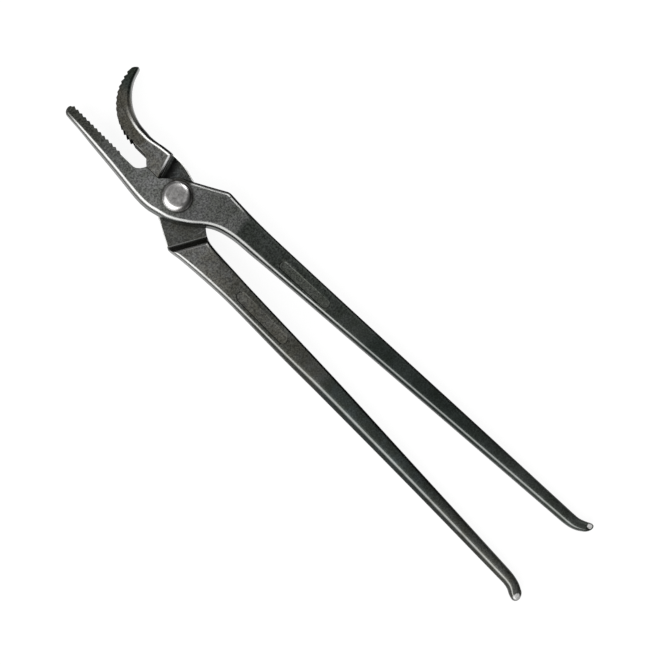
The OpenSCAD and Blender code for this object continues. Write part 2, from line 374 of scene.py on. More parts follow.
class NodeBench:
    """Short calls that add nodes to one material or world and join them."""

    def __init__(self, tree):
        self.tree = tree

    def add(self, kind, **settings):
        """New node of a kind, with its settings."""
        node = self.tree.nodes.new("ShaderNode" + kind)
        for setting, value in settings.items():
            setattr(node, setting, value)
        return node

    def feed(self, socket, value):
        """Joins an output to a socket, or sets it to a number, a Vector or a colour's tuple."""
        if isinstance(value, bpy.types.NodeSocket):
            self.tree.links.new(value, socket)
        elif isinstance(value, tuple):
            socket.default_value = (*value, 1)
        else:
            socket.default_value = value

    def parts(self, vector):
        """X, Y and Z of a vector."""
        split = self.add("SeparateXYZ")
        self.feed(split.inputs[0], vector)
        return split.outputs["X"], split.outputs["Y"], split.outputs["Z"]

    def facing(self, vector, direction):
        """How far a vector points in a direction."""
        product = self.add("VectorMath", operation="DOT_PRODUCT")
        self.feed(product.inputs[0], vector)
        self.feed(product.inputs[1], Vector(direction))
        return product.outputs["Value"]

    def fade(self, value, start, full, low=0.0, high=1.0, soft=True):
        """Ramp from low, where the value is at start, to high, where it is at full."""
        ramp = self.add("MapRange", interpolation_type="SMOOTHSTEP" if soft else "LINEAR")
        limits = {"Value": value, "From Min": start, "From Max": full, "To Min": low, "To Max": high}
        for name, limit in limits.items():
            self.feed(ramp.inputs[name], limit)
        return ramp.outputs["Result"]

    def maths(self, operation, *values):
        """Result of one operation on one or two values."""
        node = self.add("Math", operation=operation)
        for socket, value in zip(node.inputs, values):
            self.feed(socket, value)
        return node.outputs[0]

    def times(self, first, *others):
        """Product of masks or numbers."""
        for other in others:
            first = self.maths("MULTIPLY", first, other)
        return first

    def most(self, first, *others):
        """Largest of some masks."""
        for other in others:
            first = self.maths("MAXIMUM", first, other)
        return first

    def outside(self, mask):
        """The places where a mask isn't."""
        return self.maths("SUBTRACT", 1.0, mask)

    def mixed(self, amount, plain, other, blend="MIX"):
        """Colour that goes from plain to the other as the amount goes from 0 to 1."""
        node = self.add("Mix", data_type="RGBA", blend_type=blend)
        self.feed(node.inputs["Factor"], amount)
        self.feed(node.inputs[6], plain)
        self.feed(node.inputs[7], other)
        return node.outputs[2]

    def tinted(self, colour, amount, plain, other):
        """Colour times a tint that goes from plain to the other with the amount."""
        return self.mixed(1.0, colour, self.mixed(amount, plain, other), "MULTIPLY")


class SteelFinish(NodeBench):
    """Material of a steel piece, with each point's place and tilt in the piece's own frame."""

    def __init__(self, name):
        self.material = bpy.data.materials.new(name)
        self.material.use_nodes = True
        super().__init__(self.material.node_tree)
        self.shader = self.tree.nodes["Principled BSDF"]
        own = self.add("TexCoord")
        self.place = own.outputs["Object"]
        self.normal = own.outputs["Normal"]
        self.x, self.y, self.z = self.parts(self.place)
        self.tilt_x, self.tilt_y, self.tilt_z = self.parts(self.normal)

    def fade_mm(self, value, start, full, low=0.0, high=1.0):
        """Soft ramp over a length, with its limits in millimetres."""
        return self.fade(value, start * MM, full * MM, low, high)

    def between(self, value, start, full, fading, gone):
        """Mask of a band: it fades in from start to full and out from fading to gone."""
        return self.times(self.fade_mm(value, start, full), self.fade_mm(value, gone, fading))

    def noise(self, scale, detail, roughness, shift=0.0, over=None):
        """Noise pattern; the shift keeps two patterns from lying on each other."""
        start = self.place if over is None else over
        if shift:
            moved = self.add("Mapping")
            self.feed(moved.inputs["Location"], Vector((shift, shift, shift)))
            self.feed(moved.inputs["Vector"], start)
            start = moved.outputs["Vector"]
        texture = self.add("TexNoise")
        self.feed(texture.inputs["Scale"], scale)
        self.feed(texture.inputs["Detail"], detail)
        self.feed(texture.inputs["Roughness"], roughness)
        self.feed(texture.inputs["Vector"], start)
        return texture.outputs["Fac"]

    def emboss(self, relief, strength, depth):
        """Raises the surface by a relief, as grain or dents."""
        bump = self.add("Bump")
        self.feed(bump.inputs["Strength"], strength)
        self.feed(bump.inputs["Distance"], depth * MM)
        self.feed(bump.inputs["Height"], relief)
        self.feed(self.shader.inputs["Normal"], bump.outputs["Normal"])


NO_TINT = (1, 1, 1)
# bare steel, also used as painted light on the lit edges and on the shoulder's wall
BARE_STEEL = (0.5, 0.5, 0.49)
# dark oxide, also used as painted shade on the walls away from the lamps and on the lap's step
DARK_OXIDE = (0.027, 0.027, 0.026)


class LeverSteel(SteelFinish):
    """Heat-blackened forging skin, ground joint faces, worn edges painted light as highlights, painted shade
    and fine grain.
    """

    def __init__(self, name, look):
        super().__init__(name)
        self.look = look
        self.mark_faces()
        self.mark_edges()
        self.mark_walls()
        self.mark_worn_places()
        self.give_colour()
        self.give_gloss()
        self.give_grain()

    def mark_faces(self):
        """Ground faces of the joint, floor of the lap, and the painted shade in its corner at the shoulder.
        """
        self.upright = self.maths("ABSOLUTE", self.tilt_z)
        flat = self.fade(self.upright, 0.955, 0.99)
        self.grain = self.noise(1050, 5, 0.72)
        self.blotches = self.noise(150, 5, 0.6, 0.31)
        self.ragged = self.times(self.maths("SUBTRACT", self.noise(210, 4, 0.6, 0.11), 0.5), 6 * MM)
        self.height = self.maths("ADD", self.y, self.ragged)
        handle_side = self.fade_mm(self.height, *self.look.handle_fade)
        jaw_side = self.fade_mm(self.height, *reversed(self.look.jaw_fade))
        self.ground = self.times(handle_side, jaw_side, flat)
        off_middle = self.maths("ABSOLUTE", self.maths("SUBTRACT", self.z, MID * MM))
        self.lap = self.times(self.fade_mm(off_middle, 0.6, 0.3), flat)
        self.off_axis = self.maths("ABSOLUTE", self.x)
        shoulder = self.maths("ADD", self.times(self.off_axis, SHOULDER_SLOPE), SEAM_BOTTOM * MM)
        self.below_shoulder = self.maths("SUBTRACT", shoulder, self.y)
        self.lap_light = self.fade_mm(self.maths("ADD", self.below_shoulder, self.ragged), 2.6, 8.8)
        at_foot = self.times(
            self.fade_mm(self.below_shoulder, 2.2, 1.2), self.fade_mm(self.x, 4, 12.5, 0.2, 1.0))
        # painted shade: the lap's floor is darkened along the shoulder, except a narrow strip at the wall's
        # foot towards its outer end
        self.in_corner = self.times(self.lap, self.outside(self.lap_light), self.outside(at_foot))

    def mark_edges(self):
        """Edges that use has rubbed, all round the joint and jaws and left on the handles, and the side that
        faces the lamps, where they are painted light as highlight lines.
        """
        plane = self.add("CombineXYZ")
        self.feed(plane.inputs["X"], self.x)
        self.feed(plane.inputs["Y"], self.y)
        distance = self.add("VectorMath", operation="LENGTH")
        self.feed(distance.inputs[0], plane.outputs[0])
        self.from_pivot = distance.outputs["Value"]
        self.at_seam = self.times(self.fade_mm(self.off_axis, 3, 2), self.fade_mm(self.y, 8, 12))
        self.cut_side = self.times(
            self.fade(self.times(self.tilt_x, self.look.teeth_face), 0.05, 0.25),
            self.fade_mm(self.y, 22.5, 24), self.fade_mm(self.y, 34.5, 37, 0.6, 1.0))
        # painted shadow beside the rivet head on its right, away from the lamps
        self.behind_head = self.times(
            self.fade_mm(self.from_pivot, 11.3, 10.5),
            self.fade_mm(self.y, -2, 1), self.fade_mm(self.x, 2, 5))
        rounded = self.times(self.fade(self.upright, 0.45, 0.8), self.fade(self.upright, 0.999, 0.97))
        narrow = self.times(self.fade(self.upright, 0.8, 0.88), self.fade(self.upright, 0.975, 0.935))
        near_tip = self.most(
            self.fade_mm(self.y, 60, 77.5),
            self.times(self.fade_mm(self.y, 36, 54), self.fade_mm(self.x, 5, 10)))
        self.edge = self.times(
            rounded, self.outside(self.most(self.at_seam, self.cut_side, self.behind_head)),
            self.most(narrow, self.fade_mm(self.height, -90, -30)), self.outside(near_tip))
        self.lit_side = self.most(self.fade(self.tilt_x, 0.05, -0.2), self.fade_mm(self.y, -34, -26))

    def mark_walls(self):
        """Side walls: the walls and edges that face away from the lamps, the lap's step and the handles'
        outer band get painted shade, and the shoulder's edge and wall and the wall under the curved jaw's tip
        are painted light.
        """
        self.wall = self.outside(self.fade(self.upright, 0.3, 0.6))
        # painted highlight: a white matt line along the top edge of the lap's shoulder
        self.corner = self.times(
            self.fade_mm(self.maths("ABSOLUTE", self.below_shoulder), 1.4, 0.8),
            self.fade_mm(self.z, 13.7, 14.1), self.between(self.x, 2, 10.5, 12.4, 13.2))
        # painted shade on the walls and rounded edges that face right, away from the lamps
        right_wall = self.times(
            self.fade(self.tilt_x, 0.5, 0.64), self.fade_mm(self.y, 52, 38), self.outside(self.corner),
            self.fade_mm(self.height, -250, -190, 0.4, 1.0))
        # painted shade on the wall of the lap's step that faces the jaws
        step_outward = (math.sin(STEP_ANGLE) * self.look.teeth_face, math.cos(STEP_ANGLE), 0)
        on_step = self.fade(self.facing(self.normal, step_outward), 0.08, 0.4, 0.0, 0.12)
        step_wall = self.times(on_step, self.between(self.y, -31, -30, -13, -12))
        self.dark_wall = self.most(right_wall, step_wall)
        # painted shade: the rounded outer edge of the handles on the lit side is darkened
        self.outer_band = self.times(
            self.fade(self.upright, 0.92, 0.82), self.fade(self.tilt_x, -0.1, -0.3),
            self.fade_mm(self.height, -30, -110), self.look.outer_oxide)
        # painted light: the wall under the curved jaw's tip is lightened to show a pale sheen
        self.under_tip = self.times(
            self.wall, self.fade(self.tilt_y, -0.5, -0.75), self.fade_mm(self.x, 19, 27),
            self.fade_mm(self.y, 50, 55))
        # painted light: the shoulder's wall that faces the handles is made pale and matt
        self.shoulder_wall = self.times(
            self.wall, self.fade(self.tilt_y, -0.7, -0.9), self.fade_mm(self.x, 1, 12, 0.3, 1.0),
            self.between(self.y, 12.5, 13.5, 20, 21))

    def mark_worn_places(self):
        """Wear and painted highlights along the lit edges, the sunk panel on the handle, and the worn spot at
        its end, painted white as a highlight.
        """
        panel_x = self.maths("SUBTRACT", self.x, self.look.panel[0] * MM)
        panel_y = self.maths("ABSOLUTE", self.maths("SUBTRACT", self.y, self.look.panel[1] * MM))
        right_rim = self.times(self.between(panel_x, -1, 0, 4.6, 5.2), self.fade_mm(panel_y, 21, 19.5))
        self.panel_floor = self.times(
            self.fade_mm(self.maths("ABSOLUTE", panel_x), 3.2, 2.2), self.fade_mm(panel_y, 18.5, 16.5))
        low, high, least = self.look.grip_wear
        worn = self.maths(
            "MINIMUM", self.fade_mm(self.height, -15, 14, self.look.crossing_wear, 1.0),
            self.fade_mm(self.height, low, high, least, 0.85))
        # worn edges, lightened only on the side that faces the lamps as painted highlight lines
        self.rubbed = self.times(
            self.edge, self.lit_side, worn, self.fade(self.blotches, 0.25, 0.5, 0.75, 1.0),
            self.outside(self.times(right_rim, 0.7)))
        # painted highlight: a white matt spot on the handle's rounded end, also its worn bare tip
        distance = self.add("VectorMath", operation="DISTANCE")
        self.feed(distance.inputs[0], self.place)
        self.feed(distance.inputs[1], Vector(self.look.spot) * MM)
        from_spot = self.maths("ADD", distance.outputs["Value"], self.times(self.ragged, 0.4))
        radius = self.look.spot_radius
        self.spot = self.times(self.fade_mm(from_spot, radius, 0.75 * radius), self.look.spot_wear)

    def give_colour(self):
        """Forged skin and ground steel first, then grain, then wear, painted highlights and painted shade,
        grime round the rivet, and oxide.
        """
        look = self.look
        colour = self.mixed(self.fade_mm(self.y, 0, 20), look.skin, look.jaw_skin)
        jaw_end = self.times(self.fade_mm(self.x, 18, 25), self.fade_mm(self.y, 50, 55))
        colour = self.mixed(jaw_end, colour, (0.048, 0.058, 0.051))
        colour = self.mixed(self.ground, colour, look.ground_steel)
        brighter = self.fade_mm(self.y, -14, 14, 1.0, look.jaw_gain)
        colour = self.tinted(colour, self.ground, NO_TINT, brighter)
        upper_lap = tuple(a * b for a, b in zip(look.lap_steel, (0.8, 0.84, 0.9)))
        lap_steel = self.mixed(self.fade_mm(self.y, -4, 4), look.lap_steel, upper_lap)
        colour = self.mixed(self.lap, colour, lap_steel)
        colour = self.tinted(colour, self.fade_mm(self.height, -220, -250), NO_TINT, (1.25, 1.25, 1.25))
        on_grip = self.times(self.fade_mm(self.height, -118, -130), self.fade_mm(self.height, -235, -190))
        colour = self.tinted(colour, on_grip, NO_TINT, look.grip_tint)
        colour = self.mixed(self.panel_floor, colour, look.panel_steel)

        speckle = self.fade(self.grain, 0.34, 0.66)
        fine = self.mixed(speckle, (0.75, 0.75, 0.75), (1.3, 1.3, 1.3))
        coarse = self.mixed(speckle, (0.45, 0.45, 0.45), (1.6, 1.6, 1.58))
        colour = self.tinted(colour, self.fade_mm(self.height, -120, -90), fine, coarse)
        blotched = self.fade(self.blotches, 0.32, 0.68)
        colour = self.tinted(colour, blotched, look.blotch_tint, (1.12, 1.12, 1.16))
        clouds = self.fade(self.noise(38, 3, 0.5, 0.77), 0.35, 0.65)
        colour = self.tinted(colour, clouds, (0.84, 0.85, 0.84), (1.12, 1.12, 1.12))
        # painted shade in the lap's corner along the shoulder
        colour = self.mixed(self.in_corner, colour, (0.009, 0.009, 0.009))

        colour = self.mixed(self.turning_scratches(), colour, (0.4, 0.4, 0.4))
        # worn edges painted light as highlight lines on the lit side
        colour = self.mixed(self.rubbed, colour, BARE_STEEL)
        # painted highlight along the shoulder's edge
        colour = self.mixed(self.corner, colour, (0.95, 0.95, 0.95))
        # painted shade on the handles' outer edge band
        colour = self.mixed(self.outer_band, colour, (0.006, 0.006, 0.006))
        # painted highlight and worn tip at the handle's end
        colour = self.mixed(self.spot, colour, (0.85, 0.85, 0.84))
        # painted contact shadow and grime round the rivet head, kept off its left side that faces the lamp
        clean = self.most(
            self.fade_mm(self.from_pivot, 8.3, 9.6, 0.2, 1.0), self.fade_mm(self.x, -6, -7.8, 0.0, 0.9))
        colour = self.tinted(colour, clean, (0.3, 0.28, 0.26), NO_TINT)
        # painted shadow to the right of the rivet head
        colour = self.mixed(self.times(self.behind_head, 0.75), colour, (0.02, 0.018, 0.015))
        cut_wall = self.times(self.most(self.cut_side, self.at_seam), self.wall)
        # painted shade on the walls away from the lamps and on the lap's step; the cut walls and the seam
        # stay dark
        colour = self.mixed(self.most(self.dark_wall, cut_wall), colour, DARK_OXIDE)
        # painted light on the wall under the curved jaw's tip
        colour = self.mixed(self.under_tip, colour, (0.25, 0.255, 0.25))
        # painted light on the shoulder's wall
        colour = self.mixed(self.shoulder_wall, colour, BARE_STEEL)
        self.feed(self.shader.inputs["Base Color"], colour)

    def turning_scratches(self):
        """Scratches round the pivot that the other cheek has left on the lap's floor."""
        rings = self.add("CombineXYZ")
        self.feed(rings.inputs["X"], self.from_pivot)
        self.feed(rings.inputs["Y"], self.times(self.y, 0.12))
        scratch = self.noise(900, 3, 0.5, over=rings.outputs[0])
        patches = self.noise(260, 2, 0.5, 0.5)
        return self.times(
            self.fade(scratch, 0.56, 0.7), self.fade(patches, 0.42, 0.6), self.lap, self.lap_light, 0.6)

    def give_gloss(self):
        """Steel shines, the painted highlights and the worn spot look white and matt, and the oxide and the
        painted shade are dull.
        """
        white = self.most(self.corner, self.spot, self.shoulder_wall)
        self.feed(self.shader.inputs["Metallic"], self.outside(white))
        cut_wall = self.times(self.cut_side, self.wall)
        dull = self.most(self.dark_wall, cut_wall, self.in_corner, self.outer_band)
        self.feed(self.shader.inputs["Specular Tint"], self.mixed(dull, (0.8, 0.8, 0.8), (0.3, 0.3, 0.3)))
        rough = self.fade(self.grain, 0.3, 0.7, 0.36, 0.5)
        rough = self.mixed(self.times(self.edge, self.lit_side), rough, (0.26, 0.26, 0.26))
        rough = self.mixed(self.wall, rough, (0.25, 0.25, 0.25))
        rough = self.mixed(cut_wall, rough, (0.8, 0.8, 0.8))
        self.feed(self.shader.inputs["Roughness"], rough)

    def give_grain(self):
        """Grain and shallow pits, worn down on the walls and the rubbed edges."""
        pits = self.fade(self.blotches, 0.25, 0.75)
        relief = self.maths("ADD", self.times(self.grain, 0.7), self.times(pits, 0.5))
        worn_down = self.times(self.most(self.rubbed, self.wall), 0.75)
        self.emboss(self.times(relief, self.outside(worn_down)), 0.35, 0.12)


STRAIGHT_TEETH = 13
STRAIGHT_PITCH = 2.81
FIRST_TOOTH = STRAIGHT_REACH - 2.5
FIRST_CREST = -3.2
CREST_DRIFT = -0.7
TOOTH_DEPTH = 0.97
CREST_HALF = 0.14
ROOT_HALF = 0.1
STRAIGHT_PANEL = (13.2, -80.5)
straight_smooth_side = smooth([
    (-9.4, 72.4, 0.6), (-10.3, 62, 0.65), (-11.5, 52, 0.85), (-12.8, 40, 0.9), (-14.2, 28, 0.9),
    (-15.5, 18, 1), (-15.9, 12, 1), (-15.5, 6, 1), (-14.3, 0, 1), (-12.1, -6, 1),
    (-8.6, -12, 1), (-5, -17, 1), (-1.4, -21.2, 1), (1.4, -25.7, 1), (3.1, -30.5, 1),
    (4.5, -38, 1), (5.3, -50, 1.1), (6.1, GRIP_TOP, 0.95),
    (10.1, GRIP_UPPER, 1.2), (14.1, GRIP_LOWER, 1.3), (18, GRIP_END, 1.3),
    (18.4, GRIP_END - 6, 1.2), (19.1, GRIP_END - 10, 1),
    (20.4, GRIP_END - 13.4, 0.85), (22.1, GRIP_END - 16, 0.7), (23.4, GRIP_END - 17.4, 0.7),
], 0.9)
straight_handle_edge = smooth([
    (12.1, -0.1, 0.9), (16.7, -8.7, 1), (20.9, -16.4, 1), (21.5, -17.6, 1), (21.6, -19, 1),
    (21.3, -24, 1), (20.8, GROUND_BOTTOM, 1), (20.5, -48, 0.8), (20.65, GRIP_TOP, 0.8),
    (22.2, GRIP_UPPER, 1), (24, GRIP_LOWER, 1.1), (25.65, GRIP_END, 1.15),
    (25.8, GRIP_END - 6, 1.1), (26.1, GRIP_END - 10, 1),
    (27.2, GRIP_END - 13.4, 0.85), (28.4, GRIP_END - 16, 0.7),
], 1.2)
straight_throat = [
    Vector((x, y, 0)) for x, y in (
        (-4.8, THROAT_TOP), (-4.8, 34), (-4.8, 32), (-4.8, 30), (-4.8, 28.2), (-4.7, 27.3),
        (-4.5, 26.6), (-4.1, 25.8), (-3.5, 25.1), (-2.8, 24.4), (-2, 23.8), (-1.2, 23.3), (-0.5, 22.95))]


def straight_jaw_teeth():
    """Stations of the straight jaw's teeth, from the tip to the throat."""
    top_of_back = straight_smooth_side[0]
    stations = []
    for i in range(STRAIGHT_TEETH):
        crest_x = FIRST_CREST + CREST_DRIFT * i / (STRAIGHT_TEETH - 1)
        root_x = crest_x - TOOTH_DEPTH
        crest_y = FIRST_TOOTH - i * STRAIGHT_PITCH
        root_y = crest_y - STRAIGHT_PITCH / 2
        for x, y in (
                (crest_x, crest_y + CREST_HALF), (crest_x, crest_y - CREST_HALF),
                (root_x, root_y + ROOT_HALF), (root_x, root_y - ROOT_HALF)):
            p = Vector((x, y, 0))
            if y < top_of_back.y:
                back = meeting(straight_smooth_side, p, 0)
            else:
                back = Vector((top_of_back.x, y, top_of_back.z))
            stations.append(Station(p, back, half_thickness(y)))
    return stations


tip_base = STRAIGHT_REACH - 1.9
straight_tip = nose(
    Vector((-4.2, tip_base, 0.2)), Vector((-9.3, tip_base, 0.5)), (-6.2, STRAIGHT_REACH - 0.06), TIP_HALF)
straight_lap = lap_stations(
    straight_throat + cheek_edge(1) + straight_handle_edge, straight_smooth_side, -1)
straight_base = straight_lap[-1]
straight_end = nose(straight_base.cut, straight_base.smooth, (26.7, 0.1 - HANDLE_REACH), straight_base.half)
straight_stations = straight_tip + straight_jaw_teeth() + straight_lap + straight_end[::-1]
straight_lever = forging("straight_forging", straight_stations, turn=-1, pocket=-1)
front_bore = SHANK_RADIUS + SHANK_PLAY
cut_away(straight_lever, lathe("bore", [
    (0, BORE_FOOT), (front_bore, BORE_FOOT), (front_bore, BORE_TOP), (0, BORE_TOP)], BORE_SIDES))
cut_away(straight_lever, panel_cutter(STRAIGHT_PANEL, length=34.5, width=4.9, tilt=0.03))
finish_edges(straight_lever, SHARP_ANGLE)

# Places and fades are in millimetres: a fade runs between two heights, and so
# does the wear and painted sheen on the grip's edges, down to the least amount that is its third value.
straight_look = SimpleNamespace(
    teeth_face=1,
    skin=(0.056, 0.062, 0.057),
    jaw_skin=(0.066, 0.067, 0.06),
    ground_steel=(0.135, 0.136, 0.133),
    lap_steel=(0.08, 0.084, 0.08),
    panel_steel=(0.1, 0.105, 0.095),
    blotch_tint=(0.84, 0.87, 0.82),
    grip_tint=(0.72, 0.78, 0.78),
    jaw_gain=1.35,
    jaw_fade=(30, 62),
    handle_fade=(-37, -33.5),
    crossing_wear=0.5,
    grip_wear=(-135, -30, 0.22),
    outer_oxide=0.12,
    panel=STRAIGHT_PANEL,
    spot=(26.3, -278.1, 11),
    spot_radius=1.5,
    spot_wear=0.9,
)
straight_lever.data.materials.append(LeverSteel("straight lever steel", straight_look).material)
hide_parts("straight_jaw_lever")
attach(straight_lever, "straight_lever")


# The curved-jaw lever is the other drop forging, from the toothed jaw that
# bends away to the right, through the back cheek, to the left handle. Its
# saw teeth are filed across the outside of the bend.
CURVE_CENTRE = Vector((33, 36.9))
CURVE_RADIUS = 29
BACK_CENTRE = Vector((40.4, 36.3))
BACK_RADIUS = 26.3
CURVED_TEETH = 14
TOOTH_START = 176
TOOTH_END = 97
BACK_END = 104
TAPER_START = 189
ROUNDED_FROM = TOOTH_END + 45
SAW_DEPTH = 0.6
SAW_EXTRA = 0.5
TAIL_RADIUS = 7.0
CLENCH_GAP = 0.03
CURVED_PANEL = (-14.9, -76.6)


def on_circle(centre, radius, degrees, roundness):
    """Point of a circle in the plan view, at an angle in degrees."""
    a = math.radians(degrees)
    return Vector((centre.x + radius * math.cos(a), centre.y + radius * math.sin(a), roundness))


curved_smooth_side = smooth([
    (BACK_CENTRE.x - BACK_RADIUS, BACK_CENTRE.y, 1.5), (13.7, 33.5, 1.4), (14, 29, 1.2),
    (14.8, 24.5, 1.2), (15.3, 19.5, 1.2), (15.4, 13, 1), (14.7, 8, 1), (13.4, 3, 1),
    (11.4, -3.5, 1), (9.1, -8, 1), (6.4, -12.5, 1), (3.2, -16.8, 1), (0, -20.6, 1),
    (-2.8, -24, 1), (-4.6, -27.4, 1), (-5.5, -31.4, 1), (-6.2, -39, 0.9), (-6.9, -50, 0.8),
    (-7.55, GRIP_TOP, 0.8), (-10.8, GRIP_UPPER, 1), (-15, GRIP_LOWER, 1.1), (-19.3, GRIP_END, 1.15),
    (-19.75, GRIP_END - 4.6, 1.1), (-20.4, GRIP_END - 7.7, 1),
    (-21.4, GRIP_END - 10.6, 0.85), (-22.7, GRIP_END - 12.8, 0.7), (-24, GRIP_END - 14.4, 0.7),
], 0.9)
curved_handle_edge = smooth([
    (-14.6, -0.1, 0.9), (-19, -7.8, 0.9), (-22.8, -14.8, 0.7), (-23.4, -15.9, 0.6), (-23.4, -17.2, 0.5),
    (-22.7, -23, 0.6), (-22, GROUND_BOTTOM, 0.7), (-21.4, -48, 0.8), (-21.3, GRIP_TOP, 0.9),
    (-22.5, -100, 1.5), (-22.9, GRIP_UPPER, 2), (-24.5, GRIP_LOWER, 1.85), (-26.7, GRIP_END, 1.5),
    (-26.9, GRIP_END - 4.6, 1.4), (-27.6, GRIP_END - 7.7, 1.2),
    (-29.1, GRIP_END - 10.6, 0.9), (-29.8, GRIP_END - 12.8, 0.7),
], 1.2)
curved_throat = [
    Vector((x, y, 0)) for x, y in (
        (4.3, THROAT_TOP), (4.3, 34), (4.3, 32), (4.3, 30), (4.3, 28.4), (4.25, 27.7),
        (4.1, 27), (3.7, 26.4), (3.1, 25.8), (2, 24.8), (0.8, 23.6))]


def curved_jaw_teeth():
    """Stations of the curved jaw's saw teeth, from the tip to the throat."""
    spacing = (TOOTH_START - TOOTH_END) / (CURVED_TEETH - 1)
    stations = []
    for i in range(CURVED_TEETH):
        along_row = i / (CURVED_TEETH - 1)
        depth = SAW_DEPTH + SAW_EXTRA * (2 * along_row - 1) ** 2
        saw = [(0, 0), (0.04, 0.05), (0.16, depth), (0.3, depth * 0.85), (0.65, depth * 0.42)]
        if i == CURVED_TEETH - 1:
            saw = saw[:3]
        for part, cut in saw:
            a = TOOTH_END + (i + part) * spacing
            toothed = on_circle(CURVE_CENTRE, CURVE_RADIUS - cut, a, 0)
            back_angle = reading([(TOOTH_END, BACK_END), (180, 180)], a)
            roundness = reading([(TOOTH_END, 0.7), (ROUNDED_FROM, 1.6)], a)
            back = on_circle(BACK_CENTRE, BACK_RADIUS, back_angle, roundness)
            half = reading([(TOOTH_END, TIP_HALF), (TAPER_START, JOINT_HALF)], a)
            stations.append(Station(toothed, back, half))
    return stations


curved_tip = nose(Vector((32.6, 65.8, 0.3)), Vector((34.7, 62.5, 0.4)), (35.4, 63.7), TIP_HALF)
curved_lap = lap_stations(
    curved_throat + cheek_edge(-1) + curved_handle_edge, curved_smooth_side, 1)
curved_base = curved_lap[-1]
curved_end = nose(curved_base.cut, curved_base.smooth, (-27.2, GRIP_END - 16), curved_base.half)
curved_stations = curved_tip + curved_jaw_teeth() + curved_lap + curved_end[::-1]
curved_lever = forging("curved_forging", curved_stations, turn=1, pocket=1)
back_bore = SHANK_RADIUS + CLENCH_GAP
cut_away(curved_lever, lathe("bore", [
    (0, BORE_FOOT), (TAIL_RADIUS + CLENCH_GAP - BORE_FOOT, BORE_FOOT),
    (back_bore, TAIL_RADIUS - SHANK_RADIUS), (back_bore, BORE_TOP), (0, BORE_TOP)], BORE_SIDES))
cut_away(curved_lever, panel_cutter(CURVED_PANEL, length=36.5, width=5.7, tilt=-0.022))
finish_edges(curved_lever, SHARP_ANGLE)
curved_look = SimpleNamespace(
    teeth_face=-1,
    skin=(0.084, 0.087, 0.08),
    jaw_skin=(0.1, 0.097, 0.084),
    ground_steel=(0.172, 0.173, 0.167),
    lap_steel=(0.108, 0.111, 0.103),
    panel_steel=(0.125, 0.125, 0.113),
    blotch_tint=(0.88, 0.85, 0.78),
    grip_tint=(0.62, 0.72, 0.75),
    jaw_gain=1.05,
    jaw_fade=(31.8, 33.2),
    handle_fade=(-66, -34),
    crossing_wear=0.95,
    grip_wear=(-120, 0, 0.27),
    outer_oxide=0.45,
    panel=CURVED_PANEL,
    spot=(-27.5, -275.4, 11),
    spot_radius=2.2,
    spot_wear=0.75,
)
curved_lever.data.materials.append(LeverSteel("curved lever steel", curved_look).material)
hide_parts("curved_jaw_lever")
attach(curved_lever, "curved_lever")


# The rivet is bright steel with a domed factory head at the front. Its shank
# turns in the front cheek, and its tail is hammered into the countersink of
# the back cheek and ground flush.
HEAD_RADIUS = 8.3
HEAD_HEIGHT = 2.9
RIM_FOOT = 0.85
RIM_ROUND = 4.6
RIM_DEGREES = 55
TAIL_DROP = 0.02
RIVET_SIDES = 128
RIVET_SHARP_ANGLE = 40
seat = 2 * JOINT_HALF + CHEEK_GAP / 2
tail_edge = TAIL_RADIUS - 0.06
rivet_profile = [
    (0, TAIL_DROP), (TAIL_RADIUS - 0.25, TAIL_DROP), (tail_edge, 0.1), (tail_edge, 0.14),
    (SHANK_RADIUS, TAIL_RADIUS - SHANK_RADIUS), (SHANK_RADIUS, seat),
    (HEAD_RADIUS - 0.3, seat), (HEAD_RADIUS - 0.02, seat + 0.25)]
rim_start = math.radians(RIM_DEGREES)
for degrees in range(RIM_DEGREES, 0, -5):
    a = math.radians(degrees)
    rivet_profile.append((
        HEAD_RADIUS - RIM_ROUND * (math.sin(rim_start) - math.sin(a)),
        seat + RIM_FOOT + RIM_ROUND * (math.cos(a) - math.cos(rim_start))))
dome_radius, dome_foot = rivet_profile[-1]
for t in (0.06, 0.13, 0.21, 0.3, 0.42, 0.56, 0.72, 0.86, 1):
    rivet_profile.append((
        dome_radius * (1 - t), dome_foot + (seat + HEAD_HEIGHT - dome_foot) * (1 - (1 - t) ** 2)))
rivet = lathe("domed_rivet", rivet_profile, RIVET_SIDES)
finish_edges(rivet, RIVET_SHARP_ANGLE)
bright = SteelFinish("bright rivet steel")
scuffs = bright.noise(380, 6, 0.75)
tone = bright.mixed(bright.fade(scuffs, 0.34, 0.66, soft=False), (0.2, 0.195, 0.19), (0.6, 0.59, 0.58))
steep = bright.fade(bright.tilt_z, 0.965, 0.925, soft=False)
not_upper = bright.fade(bright.tilt_y, 0.55, 0.25)
# painted highlight: the polished rim is made brighter, but not on its upper side
polished = bright.mixed(bright.times(steep, not_upper), tone, (0.85, 0.84, 0.83))
# painted shade: the rim is darkened on its right and lower sides, away from the lamps, and a little on its
# upper side
oily_rim = bright.most(
    bright.fade(bright.facing(bright.normal, (0.6, -0.8, 0)), 0.2, 0.44),
    bright.fade(bright.tilt_y, -0.16, -0.46),
    bright.fade(bright.tilt_x, 0.44, 0.58),
    bright.fade(bright.tilt_y, 0.36, 0.66, 0.0, 0.6))
rightward = bright.fade(bright.tilt_x, 0.05, 0.5, soft=False)
oil = bright.mixed(rightward, (0.5, 0.49, 0.475), (0.07, 0.068, 0.065))
bright.feed(bright.shader.inputs["Base Color"], bright.mixed(oily_rim, polished, oil))
bright.feed(bright.shader.inputs["Metallic"], 1.0)
bright.feed(bright.shader.inputs["Roughness"], 0.32)
bright.emboss(scuffs, 0.25, 0.1)
rivet.data.materials.append(bright.material)
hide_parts("rivet")
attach(rivet, "curved_lever")


